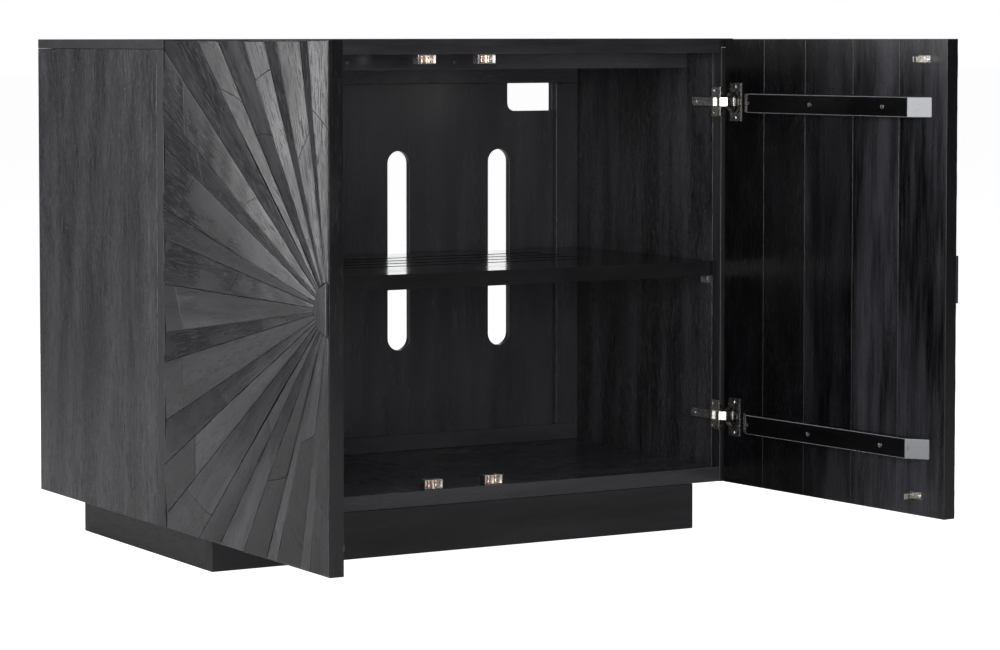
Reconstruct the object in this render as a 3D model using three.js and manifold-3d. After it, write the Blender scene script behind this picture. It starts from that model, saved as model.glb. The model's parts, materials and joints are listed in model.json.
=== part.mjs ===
// Two-door media cabinet on a recessed plinth, in millimetres, +Z up.
// The origin is the middle of the footprint on the floor; -Y is the front and +Y the wall side.
// Both doors stand open: each door is built shut and then turned about its own hinge line.
import * as THREE from "three";
import { mergeVertices } from "three/addons/utils/BufferGeometryUtils.js";
import Module from "manifold-3d";

const wasm = await Module();
wasm.setup();

// ---------------------------------------------------------------- driving dimensions
const cabinetWidth = 1067;
const carcassDepth = 488;
const carcassHeight = 754;
const plinthHeight = 76;
const seatGap = 0.3; // clearance between pieces that touch
const overcut = 1; // how far a cut runs past the face it opens

const sideThickness = 25;
const topThickness = 25;
const topLapHeight = 15; // end grain of the top that shows above each side
const floorThickness = 25;
const lippingDepth = 24; // solid strip on the front edge of each side

const plinthSideInset = 80;
const plinthBoard = 20;

const backFrameInset = 40; // from the carcass's rear edge to the frame's front face
const backFrameThickness = 12;
const backPanelThickness = 12;
const backTopRailHeight = 55;
const backBottomRailHeight = 28.5;
const backStileWidth = 46.5;
const backSlotWidth = 44;
const backSlotCentres = [141, 347.5]; // each side of the middle
const backSlotAboveFloor = 178;
const backSlotBelowTop = 173;
const cableNotchWidth = 94;
const cableNotchHeight = 50;
const cableNotchRadius = 17;
const cableNotchEdge = 2; // strip of panel left beside the stile

const frontRailInset = 101;
const frontRailThickness = 20;
const frontRailHeight = 25.5;

const shelfThickness = 25;
const shelfAboveFloor = 351; // top of the shelf over the floor panel
const shelfSideGap = 1.5;
const shelfFrontInset = 12;
const shelfBackGap = 8;
const ventCount = 4;
const ventWidth = 14;
const ventPitch = 58;
const ventFromRear = 93;
const ventEndMargin = 137; // from the shelf's end to the end of a slot

const supportWidth = 20;
const supportReach = 17;
const supportDrop = 12;
const supportSheet = 1.8;
const supportPinRadius = 2.5;
const supportPinLength = 10;
const supportPinFit = 0.3;
const supportFrontInset = 45;
const supportRearInset = 94;

const doorGap = 3.5; // between a shut door and the carcass front
const doorSideReveal = 1;
const doorEndReveal = 1; // above and below a door
const doorMeetingGap = 3;
const doorPanelThickness = 22.4;
const carvingThickness = 5.7; // at its highest
const leftDoorOpen = 90; // degrees
const rightDoorOpen = 95;

const pivotFromEdge = 8.4; // hinge pin in from the door's edge
const pivotDepth = 12.8; // hinge pin below the door's inner face
const hingeBelowTop = 106;
const hingeAboveBottom = 113;
const cupEdgeMargin = 2.4; // wood between the cup's bore and the door's edge
const cupBoreRadius = 18.1;
const cupBoreDepth = 16.8;
const cupFit = 0.3;
const cupWall = 1;
const cupFloor = 0.8;
const cupNotchHalf = 8.2;
const flangeHeight = 64;
const flangeSheet = 1.2;
const flangeInner = 6.5; // from the cup's centre towards the door's edge
const flangeBorder = 3; // beyond the bore on the other side
const flangeScrewSpacing = 52;
const flangeScrewOffset = 9.5; // from the cup's centre
const flangeScrewRadius = 2.7;
const pinRadius = 1;
const pinFit = 0.3;
const eyeRadius = 2.4;
const armSheet = 1.6;
const armWidth = 14;
const armNeck = 5.4;
const armBlockHeight = 9;
const armBlockStart = 6; // behind the carcass front
const armBlockLength = 62;
const armSetScrewSetback = 54.6;
const armSetScrewRadius = 2.6;
const plateLength = 58;
const plateStart = 8;
const plateWidth = 12;
const plateSheet = 2.4;
const plateWingSpan = 50;
const plateWingWidth = 15;
const plateLip = 4.4; // bent over the side's front edge
const plateLipSheet = 1.2;
const plateScrewSetback = 16.2;
const plateScrewSpacing = 37;
const plateScrewRadius = 2.6;

const battenHeight = 32;
const battenThickness = 22;
const battenHingeInset = 50;
const battenFreeInset = 33;
const battenBevel = 33;
const battenEndInset = 107; // batten centre from the door's top or bottom edge

const rayCount = 26; // rays across one door
const rayUnevenness = 0.17; // share of one ray's angle
const rayUnevennessTurn = 2.4; // radians from one ray to the next
const rayBase = 1.4;
const rayFaceTilt = 4.6; // degrees
const rayEdgeInset = 0.8;
const hubRadius = 38;

const catchWidth = 33;
const catchDepth = 16;
const catchHeight = 15;
const catchWall = 1.2;
const catchSetback = 8; // housing mouth behind the carcass front
const rollerRadius = 3;
const rollerOffset = 6.6;
const rollerTravel = 1.5;
const rollerPinRadius = 1;
const rollerFit = 0.3;
const rollerSetback = 6; // roller axis behind the housing's mouth
const upperCatchOffsets = { left: 61, right: 51 }; // from the cabinet's middle
const lowerCatchOffsets = { left: 49, right: 64 };
const strikePlateLength = 26;
const strikePlateHeight = 12;
const strikeSheet = 1.6;
const strikeSpearLength = 24;
const strikeSpearHeight = 9;
const strikeNeck = 2.4;
const strikeHead = 4.4;
const strikeHeadLength = 9;

const arcStep = 1.6; // chord length on small round pieces
const fewestSegments = 10;
const mostSegments = 32;
const slotEndSegments = 9; // on the half circle at the end of a slot

// ---------------------------------------------------------------- levels and faces
const halfWidth = cabinetWidth / 2;
const halfDepth = carcassDepth / 2;
const carcassTop = plinthHeight + carcassHeight;
const topUnderside = carcassTop - topThickness;
const floorTop = plinthHeight + floorThickness;
const innerHalfWidth = halfWidth - sideThickness;
const sideTop = carcassTop - topLapHeight - seatGap;
const frameFront = halfDepth - backFrameInset;
const frameBack = frameFront + backFrameThickness;
const shelfTop = floorTop + shelfAboveFloor;
const shelfBottom = shelfTop - shelfThickness;
const shelfHalfWidth = innerHalfWidth - shelfSideGap;
const shelfFront = -halfDepth + shelfFrontInset;
const shelfRear = frameFront - shelfBackGap;
const supportSeat = shelfBottom - seatGap;
const supportPinLevel = supportSeat - supportSheet - supportDrop / 2;
const supportStations = {
  front: -halfDepth + supportFrontInset,
  rear: halfDepth - supportRearInset,
};
const doorWidth = halfWidth - doorSideReveal - doorMeetingGap / 2;
const doorBottom = plinthHeight + doorEndReveal;
const doorTop = carcassTop - doorEndReveal;
const hingeLevels = {
  upper: doorTop - hingeBelowTop,
  lower: doorBottom + hingeAboveBottom,
};
const battenLevels = {
  upper: doorTop - battenEndInset,
  lower: doorBottom + battenEndInset,
};
const pivotX = doorSideReveal + pivotFromEdge; // in from the carcass's outer side
const pivotY = -(doorGap + pivotDepth); // in front of the carcass
const catchFront = -halfDepth + catchSetback;
const catchMiddle = catchHeight / 2 + seatGap;
const catchLevels = {
  upper: topUnderside - catchMiddle,
  lower: floorTop + catchMiddle,
};
const catchOffsets = { upper: upperCatchOffsets, lower: lowerCatchOffsets };

// ---------------------------------------------------------------- finishes
const finish = (color, roughness, metalness) =>
  new THREE.MeshStandardMaterial({ color, roughness, metalness });
const finishes = {
  outside: finish(0x2a2a2c, 0.6, 0),
  inside: finish(0x141415, 0.35, 0),
  carving: finish(0x2e2e32, 0.55, 0),
  nickel: finish(0xb9b8b2, 0.28, 1),
  copper: finish(0xa8745a, 0.35, 1),
};

// ---------------------------------------------------------------- solids
// A geometry as a manifold-3d solid, with its shared corners merged.
function solidOf(geometry) {
  const bare = geometry.index ? geometry.toNonIndexed() : geometry.clone();
  bare.deleteAttribute("normal");
  bare.deleteAttribute("uv");
  const merged = mergeVertices(bare, 1e-4);
  return new wasm.Manifold(
    new wasm.Mesh({
      numProp: 3,
      vertProperties: merged.getAttribute("position").array,
      triVerts: new Uint32Array(merged.index.array),
    }),
  );
}

// A manifold-3d solid as a geometry with flat faces.
function geometryOf(solid) {
  const mesh = solid.getMesh();
  const places = new Float32Array(mesh.numVert * 3);
  for (let i = 0; i < mesh.numVert; i += 1) {
    const start = i * mesh.numProp;
    places.set(mesh.vertProperties.subarray(start, start + 3), i * 3);
  }
  const indexed = new THREE.BufferGeometry()
    .setAttribute("position", new THREE.BufferAttribute(places, 3))
    .setIndex(new THREE.BufferAttribute(new Uint32Array(mesh.triVerts), 1));
  const geometry = indexed.toNonIndexed();
  geometry.computeVertexNormals();
  return geometry;
}

function cut(base, tools) {
  return geometryOf(tools.reduce((left, tool) => left.subtract(solidOf(tool)), solidOf(base)));
}

function join(parts) {
  const [first, ...rest] = parts.map(solidOf);
  return geometryOf(rest.reduce((whole, part) => whole.add(part), first));
}

// A board between two corners.
function board([x0, x1], [y0, y1], [z0, z1]) {
  return new THREE.BoxGeometry(x1 - x0, y1 - y0, z1 - z0).translate(
    (x0 + x1) / 2,
    (y0 + y1) / 2,
    (z0 + z1) / 2,
  );
}

// A round bar of the given length whose middle is at [x, y, z], along one axis.
function bar(axis, radius, length, [x, y, z]) {
  const wanted = Math.round((2 * Math.PI * radius) / arcStep);
  const segments = THREE.MathUtils.clamp(wanted, fewestSegments, mostSegments);
  const geometry = new THREE.CylinderGeometry(radius, radius, length, segments);
  if (axis === "x") geometry.rotateZ(Math.PI / 2);
  if (axis === "z") geometry.rotateX(Math.PI / 2);
  return geometry.translate(x, y, z);
}

// A flat outline in X and Z, given a thickness along Y.
function slab(outline, [y0, y1]) {
  const geometry = new THREE.ExtrudeGeometry(outline, {
    depth: y1 - y0,
    bevelEnabled: false,
    curveSegments: slotEndSegments,
  });
  return geometry.rotateX(Math.PI / 2).translate(0, y1, 0);
}

// A slot with round ends, standing up in X and Z.
function uprightSlot(centreX, width, [z0, z1]) {
  const radius = width / 2;
  const outline = new THREE.Shape();
  outline.moveTo(centreX + radius, z0 + radius);
  outline.lineTo(centreX + radius, z1 - radius);
  outline.absarc(centreX, z1 - radius, radius, 0, Math.PI, false);
  outline.lineTo(centreX - radius, z0 + radius);
  outline.absarc(centreX, z0 + radius, radius, Math.PI, 2 * Math.PI, false);
  return outline;
}

// A notch under the top rail whose lower inner corner is rounded; side is -1 or 1.
function notchOutline(side) {
  const outer = innerHalfWidth - backStileWidth - cableNotchEdge;
  const inner = outer - cableNotchWidth;
  const high = topUnderside - backTopRailHeight;
  const low = high - cableNotchHeight;
  const outline = new THREE.Shape();
  outline.moveTo(outer * side, low);
  outline.lineTo(outer * side, high);
  outline.lineTo(inner * side, high);
  outline.lineTo(inner * side, low + cableNotchRadius);
  outline.quadraticCurveTo(inner * side, low, (inner + cableNotchRadius) * side, low);
  outline.closePath();
  return outline;
}

// ---------------------------------------------------------------- assembly helpers
const cabinet = new THREE.Group();

function add(group, name, geometry, material) {
  const mesh = new THREE.Mesh(geometry, material);
  mesh.name = name;
  group.add(mesh);
}

// The two sides of the cabinet: a side's pieces are the left side's, mirrored for the right.
const sides = { left: -1, right: 1 };

// A span measured inwards from one side's outer face, as cabinet X.
function fromSide(side, near, far) {
  const ends = [side * (halfWidth - near), side * (halfWidth - far)];
  return ends.sort((a, b) => a - b);
}

// ---------------------------------------------------------------- carcass
function topPanel() {
  const blank = board([-halfWidth, halfWidth], [-halfDepth, halfDepth], [topUnderside, carcassTop]);
  const rebateTop = carcassTop - topLapHeight;
  const rebates = Object.values(sides).map((side) =>
    board(
      fromSide(side, -overcut, sideThickness + seatGap),
      [-halfDepth - overcut, halfDepth + overcut],
      [topUnderside - overcut, rebateTop],
    ),
  );
  return cut(blank, rebates);
}

function sidePanel(side) {
  const blank = board(
    fromSide(side, 0, sideThickness),
    [-halfDepth + lippingDepth + seatGap, halfDepth],
    [plinthHeight, sideTop],
  );
  const depth = supportPinLength + supportPinFit;
  const holes = Object.values(supportStations).map((station) =>
    bar("x", supportPinRadius + supportPinFit, 2 * depth, [
      side * innerHalfWidth,
      station,
      supportPinLevel,
    ]),
  );
  return cut(blank, holes);
}

function frontLipping(side) {
  return board(
    fromSide(side, 0, sideThickness),
    [-halfDepth, -halfDepth + lippingDepth],
    [plinthHeight, sideTop],
  );
}

function addCarcass() {
  const between = [-innerHalfWidth + seatGap, innerHalfWidth - seatGap];
  add(cabinet, "top_panel", topPanel(), finishes.outside);
  const floor = board(between, [-halfDepth, halfDepth], [plinthHeight + seatGap, floorTop]);
  add(cabinet, "floor_panel", floor, finishes.inside);
  for (const [name, side] of Object.entries(sides)) {
    add(cabinet, `${name}_side_panel`, sidePanel(side), finishes.outside);
    add(cabinet, `${name}_front_lipping`, frontLipping(side), finishes.outside);
  }
  const rail = board(
    between,
    [-halfDepth + frontRailInset, -halfDepth + frontRailInset + frontRailThickness],
    [topUnderside - frontRailHeight, topUnderside - seatGap],
  );
  add(cabinet, "front_top_rail", rail, finishes.inside);
}

// ---------------------------------------------------------------- back
function backPanel() {
  const faces = [frameBack + seatGap, frameBack + seatGap + backPanelThickness];
  const blank = board(
    [-innerHalfWidth + seatGap, innerHalfWidth - seatGap],
    faces,
    [floorTop + seatGap, topUnderside - seatGap],
  );
  const through = [faces[0] - overcut, faces[1] + overcut];
  const slotEnds = [floorTop + backSlotAboveFloor, topUnderside - backSlotBelowTop];
  const openings = Object.values(sides).flatMap((side) => [
    slab(notchOutline(side), through),
    ...backSlotCentres.map((centre) =>
      slab(uprightSlot(side * centre, backSlotWidth, slotEnds), through),
    ),
  ]);
  return cut(blank, openings);
}

function addBack() {
  const span = [-innerHalfWidth + seatGap, innerHalfWidth - seatGap];
  const faces = [frameFront, frameBack];
  const railBottom = topUnderside - backTopRailHeight;
  const railTop = floorTop + backBottomRailHeight;
  add(cabinet, "back_panel", backPanel(), finishes.inside);
  const top = board(span, faces, [railBottom, topUnderside - seatGap]);
  add(cabinet, "back_top_rail", top, finishes.inside);
  const bottom = board(span, faces, [floorTop + seatGap, railTop]);
  add(cabinet, "back_bottom_rail", bottom, finishes.inside);
  for (const [name, side] of Object.entries(sides)) {
    const stile = board(
      fromSide(side, sideThickness + seatGap, sideThickness + backStileWidth),
      faces,
      [railTop + seatGap, railBottom - seatGap],
    );
    add(cabinet, `back_${name}_stile`, stile, finishes.inside);
  }
}

// ---------------------------------------------------------------- plinth
function addPlinth() {
  const outer = halfWidth - plinthSideInset;
  const inner = outer - plinthBoard;
  const innerEnd = halfDepth - plinthBoard;
  const height = [0, plinthHeight];
  const runs = [-innerEnd + seatGap, innerEnd - seatGap];
  const front = board([-outer, outer], [-halfDepth, -innerEnd], height);
  add(cabinet, "plinth_front", front, finishes.outside);
  const back = board([-outer, outer], [innerEnd, halfDepth], height);
  add(cabinet, "plinth_back", back, finishes.outside);
  add(cabinet, "plinth_left", board([-outer, -inner], runs, height), finishes.outside);
  add(cabinet, "plinth_right", board([inner, outer], runs, height), finishes.outside);
  const brace = board([-plinthBoard / 2, plinthBoard / 2], runs, height);
  add(cabinet, "plinth_brace", brace, finishes.inside);
}

// ---------------------------------------------------------------- shelf
function shelf() {
  const blank = board(
    [-shelfHalfWidth, shelfHalfWidth],
    [shelfFront, shelfRear],
    [shelfBottom, shelfTop],
  );
  const reach = shelfHalfWidth - ventEndMargin - ventWidth / 2;
  const vents = Array.from({ length: ventCount }, (_, row) => {
    const y = shelfRear - ventFromRear - row * ventPitch;
    const outline = new THREE.Shape();
    outline.moveTo(-reach, y - ventWidth / 2);
    outline.lineTo(reach, y - ventWidth / 2);
    outline.absarc(reach, y, ventWidth / 2, -Math.PI / 2, Math.PI / 2, false);
    outline.lineTo(-reach, y + ventWidth / 2);
    outline.absarc(-reach, y, ventWidth / 2, Math.PI / 2, (3 * Math.PI) / 2, false);
    return new THREE.ExtrudeGeometry(outline, {
      depth: shelfThickness + 2 * overcut,
      bevelEnabled: false,
      curveSegments: slotEndSegments,
    }).translate(0, 0, shelfBottom - overcut);
  });
  return cut(blank, vents);
}

// A bent plate under the shelf with a pin in the side panel.
function shelfSupport(side, station) {
  const wallFace = sideThickness + seatGap;
  const width = [station - supportWidth / 2, station + supportWidth / 2];
  const tab = board(fromSide(side, wallFace, wallFace + supportReach), width, [
    supportSeat - supportSheet,
    supportSeat,
  ]);
  const leaf = board(fromSide(side, wallFace, wallFace + supportSheet), width, [
    supportSeat - supportSheet - supportDrop,
    supportSeat,
  ]);
  const pinOverlap = supportSheet;
  const pinMiddle = side * (innerHalfWidth + (supportPinLength - pinOverlap) / 2 - seatGap);
  const pin = bar("x", supportPinRadius, supportPinLength, [pinMiddle, station, supportPinLevel]);
  return join([tab, leaf, pin]);
}

function addShelf() {
  add(cabinet, "shelf", shelf(), finishes.inside);
  for (const [name, side] of Object.entries(sides)) {
    for (const [end, station] of Object.entries(supportStations)) {
      const support = shelfSupport(side, station);
      add(cabinet, `shelf_support_${end}_${name}`, support, finishes.nickel);
    }
  }
}

// ---------------------------------------------------------------- hinges on the carcass
// The cross-shaped mounting plate on the side's inner face. Its wings end in a narrow lip bent over
// the front edge, which sets it square.
function hingePlate(side, level) {
  const near = sideThickness + seatGap;
  const sheet = fromSide(side, near, near + plateSheet);
  const start = -halfDepth + plateStart;
  const screwLine = -halfDepth + plateScrewSetback;
  const body = board(
    sheet,
    [start, start + plateLength],
    [level - plateWidth / 2, level + plateWidth / 2],
  );
  const span = [level - plateWingSpan / 2, level + plateWingSpan / 2];
  const lipBack = -halfDepth - seatGap;
  const lipFront = lipBack - plateLipSheet;
  const wings = board(sheet, [lipFront, screwLine + plateWingWidth / 2], span);
  const lip = board(
    fromSide(side, sideThickness - plateLip, near + plateSheet),
    [lipFront, lipBack],
    span,
  );
  const middle = side * (innerHalfWidth - seatGap - plateSheet / 2);
  const holes = [-1, 1].map((end) =>
    bar("x", plateScrewRadius, 3 * plateSheet, [
      middle,
      screwLine,
      level + (end * plateScrewSpacing) / 2,
    ]),
  );
  return cut(join([body, wings, lip]), holes);
}

// The arm: a block over the plate, and a bent strap that ends in an eye on the hinge pin.
function hingeArm(side, level) {
  const near = sideThickness + 2 * seatGap + plateSheet;
  const width = [level - armWidth / 2, level + armWidth / 2];
  const blockStart = -halfDepth + armBlockStart;
  const pinLine = -halfDepth + pivotY;
  const block = board(
    fromSide(side, near, near + armBlockHeight),
    [blockStart, blockStart + armBlockLength],
    width,
  );
  const neck = board(
    fromSide(side, near, near + armNeck),
    [pinLine - armSheet / 2, blockStart + armSheet],
    width,
  );
  const run = board(
    fromSide(side, pivotX, near + armNeck),
    [pinLine - armSheet / 2, pinLine + armSheet / 2],
    width,
  );
  const pinPlace = [side * (halfWidth - pivotX), pinLine, level];
  const eye = bar("z", eyeRadius, armWidth, pinPlace);
  const bore = bar("z", pinRadius + pinFit, 2 * armWidth, pinPlace);
  const screwHole = bar("x", armSetScrewRadius, armBlockHeight, [
    side * (halfWidth - near - armBlockHeight),
    -halfDepth + armSetScrewSetback,
    level,
  ]);
  return cut(join([block, neck, run, eye]), [bore, screwHole]);
}

function addHingeMounts() {
  for (const [name, side] of Object.entries(sides)) {
    for (const [place, level] of Object.entries(hingeLevels)) {
      add(cabinet, `${name}_${place}_hinge_plate`, hingePlate(side, level), finishes.nickel);
      add(cabinet, `${name}_${place}_hinge_arm`, hingeArm(side, level), finishes.nickel);
    }
  }
}

// ---------------------------------------------------------------- roller catches
// The housing is a box open towards the door, with a slot for each roller's pin above and below.
function catchHousing(centre, level) {
  const half = catchWidth / 2;
  const low = level - catchHeight / 2;
  const high = level + catchHeight / 2;
  const shell = board(
    [centre - half, centre + half],
    [catchFront, catchFront + catchDepth],
    [low, high],
  );
  const hollow = board(
    [centre - half + catchWall, centre + half - catchWall],
    [catchFront - overcut, catchFront + catchDepth - catchWall],
    [low + catchWall, high - catchWall],
  );
  const slotHalf = rollerPinRadius + rollerFit;
  const axis = catchFront + rollerSetback;
  const slots = [-1, 1].map((hand) => {
    const ends = [rollerOffset - slotHalf, rollerOffset + rollerTravel + slotHalf];
    const span = ends.map((end) => centre + hand * end).sort((a, b) => a - b);
    return board(span, [axis - slotHalf, axis + slotHalf], [low - overcut, high + overcut]);
  });
  return cut(shell, [hollow, ...slots]);
}

function catchRoller(centre, level, hand) {
  const place = [centre + hand * rollerOffset, catchFront + rollerSetback, level];
  const barrel = bar("z", rollerRadius, catchHeight - 2 * (catchWall + rollerFit), place);
  const pin = bar("z", rollerPinRadius, catchHeight - 2 * rollerFit, place);
  return join([barrel, pin]);
}

function addCatches() {
  for (const [place, offsets] of Object.entries(catchOffsets)) {
    const level = catchLevels[place];
    for (const [name, side] of Object.entries(sides)) {
      const centre = side * offsets[name];
      const label = `${name}_${place}_catch`;
      add(cabinet, `${label}_housing`, catchHousing(centre, level), finishes.nickel);
      add(cabinet, `${label}_roller_inner`, catchRoller(centre, level, -side), finishes.copper);
      add(cabinet, `${label}_roller_outer`, catchRoller(centre, level, side), finishes.copper);
    }
  }
}

// ---------------------------------------------------------------- doors
// A door is drawn shut, as the left door, about its hinge pin: X runs from the pin towards the
// free edge and Y into the cabinet. Heights are the cabinet's own.
const doorEdge = -pivotFromEdge;
const doorFree = doorEdge + doorWidth;
const doorInner = pivotDepth;
const panelOuter = doorInner - doorPanelThickness;
const doorOuter = panelOuter - seatGap - carvingThickness;
const cupCentre = doorEdge + cupEdgeMargin + cupBoreRadius;
const cupOuterRadius = cupBoreRadius - cupFit;
const cupInnerRadius = cupOuterRadius - cupWall;

function doorPanel() {
  const blank = board([doorEdge, doorFree], [panelOuter, doorInner], [doorBottom, doorTop]);
  const bores = Object.values(hingeLevels).map((level) =>
    bar("y", cupBoreRadius, 2 * cupBoreDepth, [cupCentre, doorInner, level]),
  );
  return cut(blank, bores);
}

// A pressed cup with its screwed flange and the hinge pin across it. The wall next to the
// door's edge is notched, so that the arm can swing over it.
function hingeCup(level) {
  const depth = cupBoreDepth - cupFit;
  const flangeBase = doorInner + seatGap;
  const flangeFace = flangeBase + flangeSheet;
  const shell = bar("y", cupOuterRadius, depth + flangeFace - doorInner, [
    cupCentre,
    (flangeFace + doorInner - depth) / 2,
    level,
  ]);
  const flange = board(
    [cupCentre - flangeInner, cupCentre + cupBoreRadius + flangeBorder],
    [flangeBase, flangeFace],
    [level - flangeHeight / 2, level + flangeHeight / 2],
  );
  const hollowFloor = doorInner - depth + cupFloor;
  const hollowMouth = flangeFace + overcut;
  const hollow = bar("y", cupInnerRadius, hollowMouth - hollowFloor, [
    cupCentre,
    (hollowMouth + hollowFloor) / 2,
    level,
  ]);
  const notch = board(
    [doorEdge - overcut, pinRadius],
    [hollowFloor, hollowMouth],
    [level - cupNotchHalf, level + cupNotchHalf],
  );
  const screwHoles = [-1, 1].map((end) =>
    bar("y", flangeScrewRadius, 4 * flangeSheet, [
      cupCentre + flangeScrewOffset,
      flangeBase,
      level + (end * flangeScrewSpacing) / 2,
    ]),
  );
  const chord = (reach) => 2 * Math.sqrt(reach ** 2 - cupCentre ** 2);
  const pinLength = (chord(cupInnerRadius) + chord(cupOuterRadius)) / 2;
  const pin = bar("z", pinRadius, pinLength, [0, 0, level]);
  return join([cut(join([shell, flange]), [hollow, notch, ...screwHoles]), pin]);
}

// A batten with both ends cut to a slope.
function batten(level) {
  const start = doorEdge + battenHingeInset;
  const end = doorFree - battenFreeInset;
  const seat = doorInner + seatGap;
  const face = seat + battenThickness;
  const outline = new THREE.Shape();
  outline.moveTo(start, seat);
  outline.lineTo(end, seat);
  outline.lineTo(end - battenBevel, face);
  outline.lineTo(start + battenBevel, face);
  outline.closePath();
  return new THREE.ExtrudeGeometry(outline, { depth: battenHeight, bevelEnabled: false }).translate(
    0,
    0,
    level - battenHeight / 2,
  );
}

// An arrow-headed strike on a plate, in line with its catch.
function strike(offset, level) {
  const middle = halfWidth - offset - pivotX;
  const seat = doorInner + seatGap;
  const tip = seat + strikeSheet + strikeSpearLength;
  const shoulder = tip - strikeHeadLength / 2;
  const barb = tip - strikeHeadLength;
  const plate = board(
    [middle - strikePlateLength / 2, middle + strikePlateLength / 2],
    [seat, seat + strikeSheet],
    [level - strikePlateHeight / 2, level + strikePlateHeight / 2],
  );
  const outline = new THREE.Shape();
  outline.moveTo(middle - strikeNeck / 2, seat);
  outline.lineTo(middle + strikeNeck / 2, seat);
  outline.lineTo(middle + strikeNeck / 2, barb);
  outline.lineTo(middle + strikeHead / 2, shoulder);
  outline.lineTo(middle + strikeNeck / 4, tip);
  outline.lineTo(middle - strikeNeck / 4, tip);
  outline.lineTo(middle - strikeHead / 2, shoulder);
  outline.lineTo(middle - strikeNeck / 2, barb);
  outline.closePath();
  const spear = new THREE.ExtrudeGeometry(outline, {
    depth: strikeSpearHeight,
    bevelEnabled: false,
  }).translate(0, 0, level - strikeSpearHeight / 2);
  return join([plate, spear]);
}

// The rays fan out from the middle of the free edge. Angles run from straight up (0) to straight
// down (pi), a little unevenly.
const hubLevel = (doorBottom + doorTop) / 2;

function rayEdges() {
  const step = Math.PI / rayCount;
  return Array.from({ length: rayCount + 1 }, (_, i) => {
    const inside = i > 0 && i < rayCount;
    const sway = inside ? rayUnevenness * Math.sin(rayUnevennessTurn * i) : 0;
    return step * (i + sway);
  });
}

// One wedge: it is low along one edge and rises evenly towards the other.
function ray(from, to, lowFirst) {
  const reach = 1.1 * Math.hypot(doorWidth, doorTop - doorBottom); // past the door's corners
  const rise = Math.tan(THREE.MathUtils.degToRad(rayFaceTilt));
  const seat = panelOuter - seatGap;
  const points = [];
  for (const radius of [hubRadius / 4, reach]) {
    for (const angle of [from, to]) {
      const low = angle === from ? lowFirst : !lowFirst;
      const spread = low ? 0 : radius * Math.sin(to - from) * rise;
      const x = doorFree - radius * Math.sin(angle);
      const z = hubLevel + radius * Math.cos(angle);
      points.push([x, seat, z], [x, seat - rayBase - spread, z]);
    }
  }
  // Corner order: 0 inner-from seat, 1 inner-from face, 2 inner-to seat, 3 inner-to face, 4-7 outer.
  const quads = [
    [0, 1, 3, 2],
    [4, 6, 7, 5],
    [0, 4, 5, 1],
    [2, 3, 7, 6],
    [0, 2, 6, 4],
    [1, 5, 7, 3],
  ];
  const corners = quads.flatMap(([a, b, c, d]) => [a, b, c, a, c, d]);
  return new THREE.BufferGeometry().setAttribute(
    "position",
    new THREE.Float32BufferAttribute(corners.flatMap((corner) => points[corner]), 3),
  );
}

// Half an octagon against the free edge.
function hubOutline(radius) {
  const flat = doorFree - rayEdgeInset;
  const outline = new THREE.Shape();
  outline.moveTo(flat, hubLevel + radius);
  for (let corner = 1; corner <= 4; corner += 1) {
    const angle = (corner * Math.PI) / 4;
    outline.lineTo(flat - radius * Math.sin(angle), hubLevel + radius * Math.cos(angle));
  }
  outline.closePath();
  return outline;
}

function sunburst() {
  const seat = panelOuter - seatGap;
  const edges = rayEdges();
  const frame = solidOf(
    board(
      [doorEdge + rayEdgeInset, doorFree - rayEdgeInset],
      [doorOuter, seat],
      [doorBottom + rayEdgeInset, doorTop - rayEdgeInset],
    ),
  );
  const backing = solidOf(
    board(
      [doorEdge + rayEdgeInset, doorFree - rayEdgeInset],
      [seat - rayBase / 2, seat],
      [doorBottom + rayEdgeInset, doorTop - rayEdgeInset],
    ),
  );
  const wedges = edges.slice(1).map((to, i) => solidOf(ray(edges[i], to, i % 2 === 0)));
  const fan = wedges.reduce((whole, wedge) => whole.add(wedge), backing);
  const clearing = solidOf(slab(hubOutline(hubRadius + seatGap), [doorOuter - overcut, seat + overcut]));
  return geometryOf(fan.intersect(frame).subtract(clearing));
}

function hub() {
  return slab(hubOutline(hubRadius), [doorOuter, panelOuter - seatGap]);
}

// The same solid seen in a mirror, for the right-hand door.
function mirrored(geometry) {
  const source = geometry.index ? geometry.toNonIndexed() : geometry.clone();
  const places = source.getAttribute("position");
  const flipped = new Float32Array(places.count * 3);
  for (let i = 0; i < places.count; i += 3) {
    [i, i + 2, i + 1].forEach((from, corner) => {
      flipped.set([-places.getX(from), places.getY(from), places.getZ(from)], (i + corner) * 3);
    });
  }
  const result = new THREE.BufferGeometry().setAttribute(
    "position",
    new THREE.BufferAttribute(flipped, 3),
  );
  result.computeVertexNormals();
  return result;
}

function addDoor(name, side, openDegrees) {
  const door = new THREE.Group();
  door.position.set(side * (halfWidth - pivotX), -halfDepth + pivotY, 0);
  door.rotation.z = side * THREE.MathUtils.degToRad(openDegrees);
  cabinet.add(door);
  const place = (label, geometry, material) =>
    add(door, `${name}_${label}`, side > 0 ? mirrored(geometry) : geometry, material);
  place("door_panel", doorPanel(), finishes.inside);
  place("door_sunburst", sunburst(), finishes.carving);
  place("door_hub", hub(), finishes.carving);
  for (const [level, height] of Object.entries(battenLevels)) {
    place(`${level}_batten`, batten(height), finishes.inside);
  }
  for (const [level, height] of Object.entries(hingeLevels)) {
    place(`${level}_hinge_cup`, hingeCup(height), finishes.nickel);
  }
  for (const [level, height] of Object.entries(catchLevels)) {
    place(`${level}_strike`, strike(catchOffsets[level][name], height), finishes.nickel);
  }
}

addPlinth();
addCarcass();
addBack();
addShelf();
addHingeMounts();
addCatches();
addDoor("left", sides.left, leftDoorOpen);
addDoor("right", sides.right, rightDoorOpen);

export default cabinet;
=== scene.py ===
# %% [markdown]
# # A media cabinet in black stained wood
# The measured model of the cabinet comes first, and nothing in it moves or changes size here. Every
# wooden and metal piece is then made again over it with softened edges, carving, screws and a finish,
# and each new piece rides on the same body as the piece that it stands for.

# %% Load the measured model
import json
import math

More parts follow.
